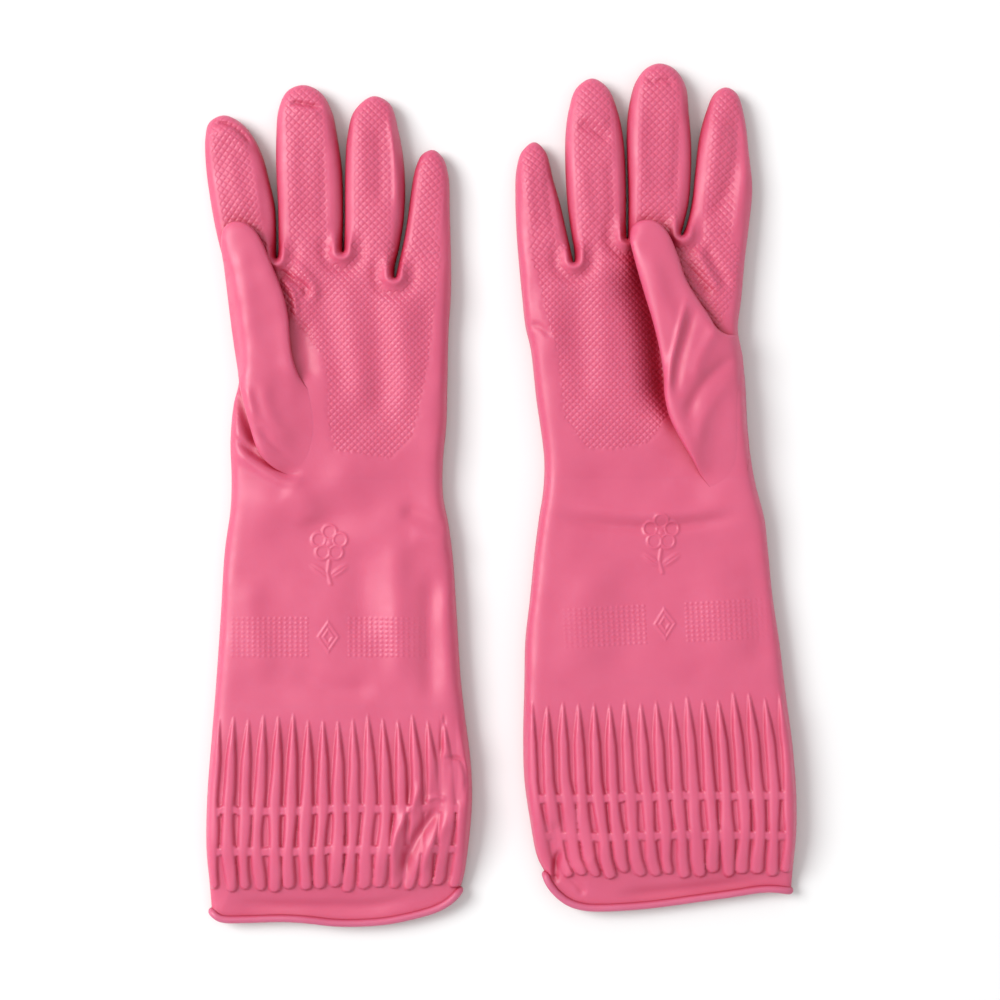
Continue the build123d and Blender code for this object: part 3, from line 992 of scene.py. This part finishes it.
def latex_material(name, colour, deep, roughness, grain):
    """Satin rubber: slightly clouded, with painted shade that turns it deep red in creases and hollows,
    of uneven gloss, with a fine pebbled skin.
    """
    material = bpy.data.materials.new(name)
    material.use_nodes = True
    tree = material.node_tree
    shader = tree.nodes["Principled BSDF"]
    place = tree.nodes.new("ShaderNodeTexCoord")
    clouded = mix(tree, colour, remap(tree, noise(tree, place, 42, 4), 0.3, 0.7, 0, 1))
    clouded.inputs["B"].default_value = (*deep, 1)
    # Painted shade: where ambient occlusion finds a crease, hollow or nearby part, the colour is mixed
    # towards deep red
    shade = tree.nodes.new("ShaderNodeAmbientOcclusion")
    shade.samples = 8
    shade.inputs["Distance"].default_value = 0.016
    painted_crease_shade = mix(tree, PAINTED_CREASE_SHADE, remap(tree, shade.outputs["AO"], 0.3, 0.94, 0, 1))
    tree.links.new(clouded.outputs["Result"], painted_crease_shade.inputs["B"])
    tree.links.new(painted_crease_shade.outputs["Result"], shader.inputs["Base Color"])
    gloss = remap(tree, noise(tree, place, 160, 3), 0.3, 0.7, roughness - 0.05, roughness + 0.06)
    tree.links.new(gloss, shader.inputs["Roughness"])
    bump = tree.nodes.new("ShaderNodeBump")
    bump.inputs["Strength"].default_value = grain
    bump.inputs["Distance"].default_value = 0.0002
    tree.links.new(noise(tree, place, 1100, 3), bump.inputs["Height"])
    tree.links.new(bump.outputs["Normal"], shader.inputs["Normal"])
    shader.inputs["IOR"].default_value = 1.5
    shader.inputs["Specular IOR Level"].default_value = 0.6
    shader.inputs["Subsurface Weight"].default_value = 0.35
    shader.inputs["Subsurface Radius"].default_value = (1.0, 0.35, 0.3)
    shader.inputs["Subsurface Scale"].default_value = 0.0012
    return material


# ---- Floor, lights and camera ----

def add_floor():
    """A wide pale sheet just under the gloves."""
    half, level = 3.0, -0.0002
    corners = [(-half, -half, level), (half, -half, level), (half, half, level), (-half, half, level)]
    mesh = bpy.data.meshes.new("floor")
    mesh.from_pydata(corners, [], [(0, 1, 2, 3)])
    material = bpy.data.materials.new("floor_paper")
    material.use_nodes = True
    shader = material.node_tree.nodes["Principled BSDF"]
    shader.inputs["Base Color"].default_value = (0.86, 0.86, 0.86, 1)
    shader.inputs["Roughness"].default_value = 0.9
    mesh.materials.append(material)
    new_object("floor", mesh)


def add_light(name, place, size, power):
    """A soft square light aimed at the middle of the pair."""
    data = bpy.data.lights.new(name, "AREA")
    data.size = size
    data.energy = power
    obj = new_object(name, data)
    obj.location = place
    obj.rotation_euler = (Vector((0, 0, 0.01)) - Vector(place)).to_track_quat("-Z", "Y").to_euler()


def add_camera():
    """A camera straight over the pair, framing it as the photograph does."""
    data = bpy.data.cameras.new("camera")
    data.lens = 85
    data.sensor_width = 36
    obj = new_object("camera", data)
    obj.location = (-0.0004, -0.0022, 1.0666)
    bpy.context.scene.camera = obj


def add_world(strength):
    """Even white light from all round."""
    world = bpy.data.worlds.new("studio")
    world.use_nodes = True
    background = world.node_tree.nodes["Background"]
    background.inputs["Color"].default_value = (1, 1, 1, 1)
    background.inputs["Strength"].default_value = strength
    bpy.context.scene.world = world


def use_plain_view():
    """Colours shown as they are: the default view transform turns this pink grey."""
    bpy.context.scene.view_settings.view_transform = "Standard"


latex = latex_material("pink_latex", (0.665, 0.106, 0.207), (0.635, 0.091, 0.188), 0.45, 0.12)
grip_latex = latex_material("grip_latex", (0.665, 0.104, 0.205), (0.625, 0.086, 0.182), 0.47, 0.18)
bead_latex = latex_material("bead_latex", (0.62, 0.125, 0.232), (0.58, 0.108, 0.212), 0.46, 0.10)

for side, glove in GLOVES.items():
    palm, upper_lip, lower_lip = build_hand(side, glove, latex, grip_latex)
    build_bead(side, upper_lip, lower_lip, bead_latex)
    build_thumb(side, glove, palm, latex)

add_floor()
add_light("key", place=(-2.6, 0.9, 2.7), size=2.0, power=134)
add_world(strength=0.66)
add_camera()
use_plain_view()
